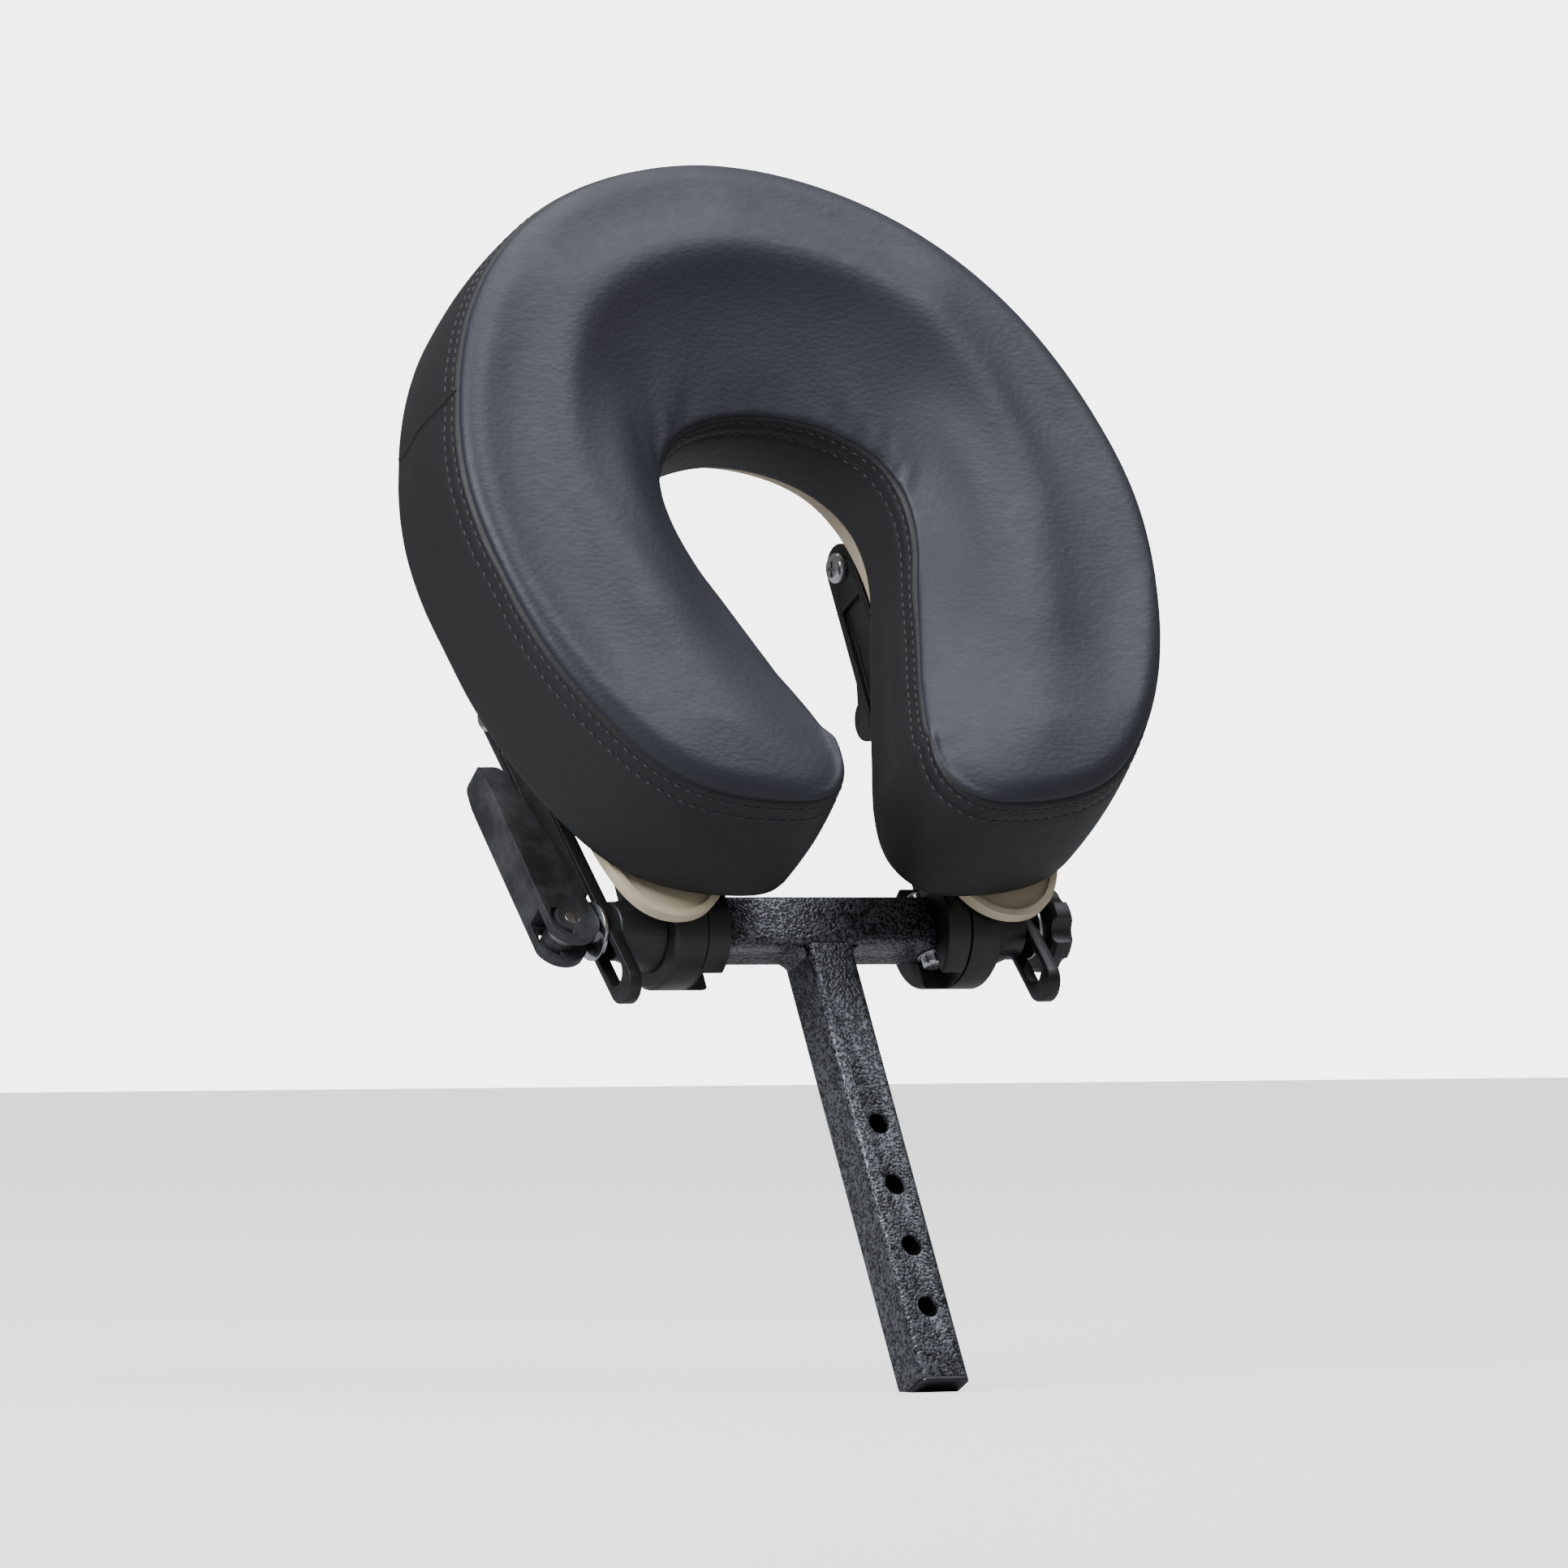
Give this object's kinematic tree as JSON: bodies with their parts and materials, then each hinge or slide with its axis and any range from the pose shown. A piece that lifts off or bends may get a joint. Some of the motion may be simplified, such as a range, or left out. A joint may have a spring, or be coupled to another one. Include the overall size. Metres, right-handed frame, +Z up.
{
  "type": "face cradle cushion on adjustable cradle",
  "caption": "Horseshoe face cushion on a tilting platform, with arms, cam lever, knob and a square post.",
  "frame": {"origin": "centre of the square post's lower end, under its plug's cap", "axes": "+Z up as it stands in use, +X to the user's left hand side where the star knob is, -Y towards the user's face"},
  "size_m": [0.2932, 0.2258, 0.4657],
  "materials": {
    "cover_vinyl": "soft synthetic leather, fine grain, charcoal front",
    "cover_band": "soft synthetic leather, near black",
    "loop_fabric": "brushed loop fabric",
    "foam": "open-cell polyurethane foam",
    "hook_tape": "woven hook tape",
    "cream_plastic": "moulded ABS, cream, satin",
    "black_nylon": "moulded glass-filled nylon, black",
    "lever_plastic": "moulded nylon, black",
    "frame_paint": "hammertone powder coat, charcoal",
    "weld_paint": "painted weld bead",
    "zinc_steel": "bright zinc plated steel",
    "rod_steel": "turned steel",
    "brass": "turned brass"
  },
  "bodies": {
    "frame": {"post_tube": "frame_paint", "post_end_plug": "black_nylon", "crossbar_tube": "frame_paint", "tee_weld": "weld_paint", "clamp_block_right": "black_nylon", "clamp_block_left": "black_nylon", "block_screws": "zinc_steel"},
    "arms": {"arm_right": "black_nylon", "arm_left": "black_nylon", "pivot_screws": "zinc_steel", "pivot_nuts": "zinc_steel", "spacer_right": "black_nylon", "spacer_left": "black_nylon", "clamp_rod": "rod_steel", "cam_pin": "rod_steel", "clamp_washers": "zinc_steel"},
    "platform": {"platform_shell": "cream_plastic", "platform_bracket_right": "black_nylon", "platform_bracket_left": "black_nylon", "bracket_screws": "zinc_steel", "hook_strips": "hook_tape", "link_screws": "zinc_steel"},
    "tilt_links": {"slotted_link_right": "black_nylon", "slotted_link_left": "black_nylon"},
    "cushion": {"cushion_foam": "foam", "cover_back_panel": "loop_fabric", "cover_front_panel": "cover_vinyl", "cover_outer_band": "cover_band", "cover_inner_band": "cover_band"},
    "cam_lever": {"cam_lever": "lever_plastic"},
    "star_knob": {"star_knob": "black_nylon", "knob_insert": "brass"}
  },
  "joints": [
    {"name": "arm_tilt", "type": "hinge", "parent": "frame", "child": "arms", "pos_m": [0, 0.08744, 0.16869], "axis": [1, 0, 0], "range_deg": [-30, 60]},
    {"name": "platform_tilt", "type": "hinge", "parent": "arms", "child": "platform", "pos_m": [0, 0.16813, 0.30686], "axis": [-1, 0, 0], "range_deg": [0, 30]},
    {"name": "link_swing", "type": "hinge", "parent": "platform", "child": "tilt_links", "pos_m": [0, 0.16524, 0.24925], "axis": [-1, 0, 0], "range_deg": [-60, 60]},
    {"name": "cushion_lift", "type": "slide", "parent": "platform", "child": "cushion", "axis": [0, -0.8572, 0.515], "range_m": [0, 0.06]},
    {"name": "cam_swing", "type": "hinge", "parent": "arms", "child": "cam_lever", "pos_m": [-0.1065, 0.08744, 0.16869], "axis": [0, -0.7385, 0.6743], "range_deg": [0, 110]},
    {"name": "knob_spin", "type": "hinge", "parent": "arms", "child": "star_knob", "pos_m": [0.1, 0.08744, 0.16869], "axis": [1, 0, 0], "continuous": true}
  ],
  "couplings": [
    {"joint": "link_swing", "follows": "platform_tilt", "ratio": -1.49}
  ]
}
